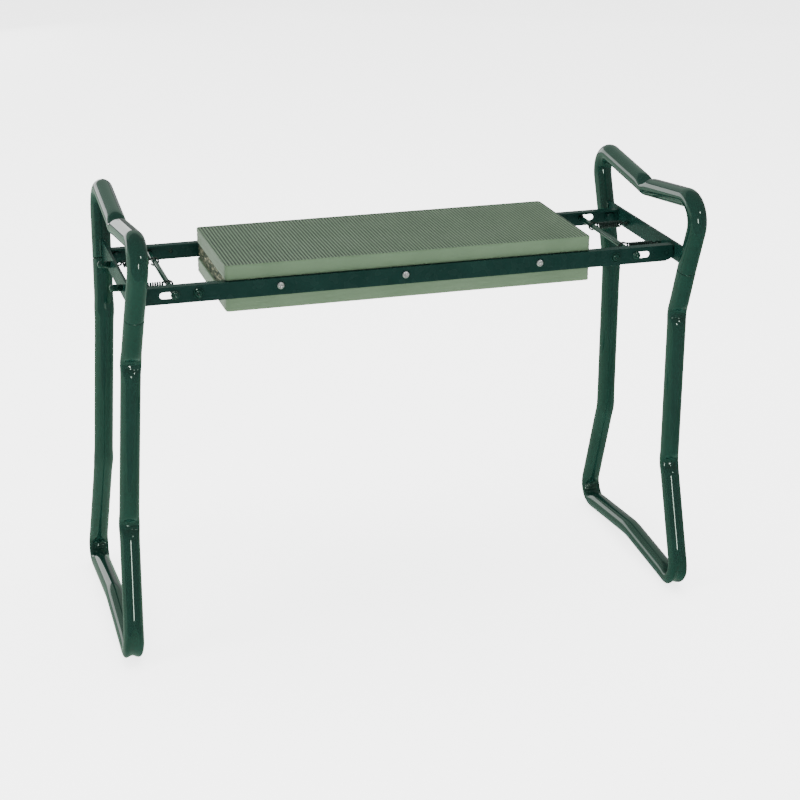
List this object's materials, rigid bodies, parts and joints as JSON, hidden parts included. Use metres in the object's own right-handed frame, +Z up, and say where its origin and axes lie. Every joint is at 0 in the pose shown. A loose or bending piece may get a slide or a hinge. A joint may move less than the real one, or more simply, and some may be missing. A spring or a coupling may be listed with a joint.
{
  "type": "garden kneeler seat",
  "caption": "Folding garden kneeler seat: looped tube legs with grip handles carry a foam-padded seat on steel rails; turned over it is a kneeler.",
  "frame": {"origin": "on the floor under the middle of the whole outline, feet at Z = 0", "axes": "+X towards the right leg loop along the seat, -Y the front, +Z up"},
  "size_m": [0.6778, 0.2978, 0.487],
  "materials": {
    "green_tube": "very glossy dark green powder coat over round steel tube",
    "green_steel": "semi-gloss dark green paint over pressed steel",
    "bare_steel": "bright zinc-plated screws",
    "spring_steel": "dark oiled spring wire",
    "foam": "matte sage green closed-cell foam, ribbed on the broad faces",
    "chipboard": "raw dark chipboard, cut edges"
  },
  "bodies": {
    "seat_frame": {"front_rail": "green_steel", "rear_rail": "green_steel", "seat_board": "chipboard", "top_pad": "foam", "bottom_pad": "foam", "front_left_board_screw": "bare_steel", "front_middle_board_screw": "bare_steel", "front_right_board_screw": "bare_steel", "front_left_rail_rivet": "green_steel", "front_left_hinge_pin": "green_steel", "front_right_rail_rivet": "green_steel", "front_right_hinge_pin": "green_steel", "rear_left_board_screw": "bare_steel", "rear_middle_board_screw": "bare_steel", "rear_right_board_screw": "bare_steel", "rear_left_rail_rivet": "green_steel", "rear_left_hinge_pin": "green_steel", "rear_right_rail_rivet": "green_steel", "rear_right_hinge_pin": "green_steel"},
    "left_leg": {"left_handle_tube": "green_tube", "left_leg_tube": "green_tube", "left_cross_plate": "green_steel", "left_front_spring_stud": "green_steel", "left_rear_spring_stud": "green_steel"},
    "right_leg": {"right_handle_tube": "green_tube", "right_leg_tube": "green_tube", "right_cross_plate": "green_steel", "right_front_spring_stud": "green_steel", "right_rear_spring_stud": "green_steel"},
    "left_lock": {"left_lock_rod": "green_steel", "left_front_spring": "spring_steel", "left_rear_spring": "spring_steel"},
    "right_lock": {"right_lock_rod": "green_steel", "right_front_spring": "spring_steel", "right_rear_spring": "spring_steel"}
  },
  "joints": [
    {"name": "left_leg_hinge", "type": "hinge", "parent": "seat_frame", "child": "left_leg", "pos_m": [-0.29293, 0, 0.40551], "axis": [0, -1, 0], "range_deg": [0, 88]},
    {"name": "right_leg_hinge", "type": "hinge", "parent": "seat_frame", "child": "right_leg", "pos_m": [0.31207, 0, 0.40551], "axis": [0, 1, 0], "range_deg": [0, 74]},
    {"name": "left_rod_slide", "type": "slide", "parent": "seat_frame", "child": "left_lock", "axis": [-1, 0, 0], "range_m": [0, 0.013], "deforming": ["left_front_spring", "left_rear_spring"]},
    {"name": "right_rod_slide", "type": "slide", "parent": "seat_frame", "child": "right_lock", "axis": [1, 0, 0], "range_m": [0, 0.013], "deforming": ["right_front_spring", "right_rear_spring"]}
  ]
}
